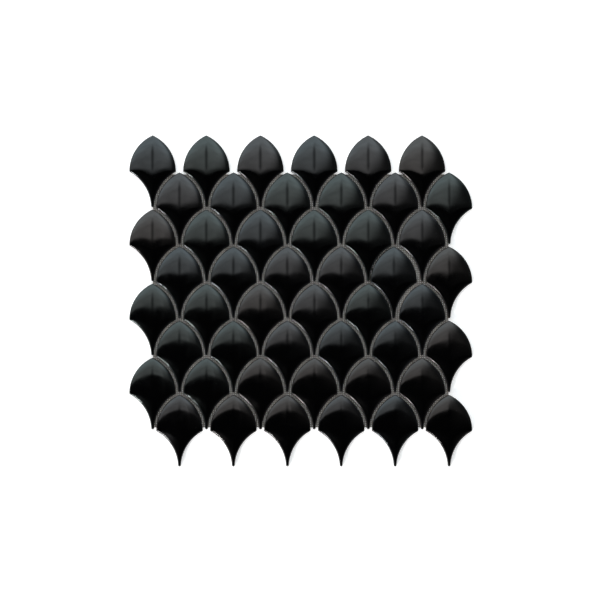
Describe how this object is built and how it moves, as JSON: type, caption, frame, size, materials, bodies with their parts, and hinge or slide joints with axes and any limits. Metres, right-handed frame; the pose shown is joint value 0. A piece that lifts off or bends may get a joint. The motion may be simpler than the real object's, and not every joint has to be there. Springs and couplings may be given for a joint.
{
  "type": "mosaic tile sheet",
  "caption": "Flat sheet of fish-scale mosaic: domed black gloss aluminium chips in offset rows on a glass-fibre backing mesh, for bonding to walls.",
  "frame": {"origin": "middle of the sheet's outline, on the underside of the backing mesh", "axes": "+Z out of the tiled face, +X along the rows, +Y the way the chips' arches point"},
  "size_m": [0.299, 0.2886, 0.008],
  "materials": {
    "black_chip": "high-gloss black coating over aluminium",
    "backing_mesh": "coated glass-fibre open weave"
  },
  "bodies": {
    "root": {"chip_row1_col1": "black_chip", "chip_row1_col2": "black_chip", "chip_row1_col3": "black_chip", "chip_row1_col4": "black_chip", "chip_row1_col5": "black_chip", "chip_row1_col6": "black_chip", "chip_row2_col1": "black_chip", "chip_row2_col2": "black_chip", "chip_row2_col3": "black_chip", "chip_row2_col4": "black_chip", "chip_row2_col5": "black_chip", "chip_row2_col6": "black_chip", "chip_row3_col1": "black_chip", "chip_row3_col2": "black_chip", "chip_row3_col3": "black_chip", "chip_row3_col4": "black_chip", "chip_row3_col5": "black_chip", "chip_row3_col6": "black_chip", "chip_row4_col1": "black_chip", "chip_row4_col2": "black_chip", "chip_row4_col3": "black_chip", "chip_row4_col4": "black_chip", "chip_row4_col5": "black_chip", "chip_row4_col6": "black_chip", "chip_row5_col1": "black_chip", "chip_row5_col2": "black_chip", "chip_row5_col3": "black_chip", "chip_row5_col4": "black_chip", "chip_row5_col5": "black_chip", "chip_row5_col6": "black_chip", "chip_row6_col1": "black_chip", "chip_row6_col2": "black_chip", "chip_row6_col3": "black_chip", "chip_row6_col4": "black_chip", "chip_row6_col5": "black_chip", "chip_row6_col6": "black_chip", "chip_row7_col1": "black_chip", "chip_row7_col2": "black_chip", "chip_row7_col3": "black_chip", "chip_row7_col4": "black_chip", "chip_row7_col5": "black_chip", "chip_row7_col6": "black_chip", "chip_row8_col1": "black_chip", "chip_row8_col2": "black_chip", "chip_row8_col3": "black_chip", "chip_row8_col4": "black_chip", "chip_row8_col5": "black_chip", "chip_row8_col6": "black_chip", "mesh_backing": "backing_mesh"}
  },
  "joints": []
}
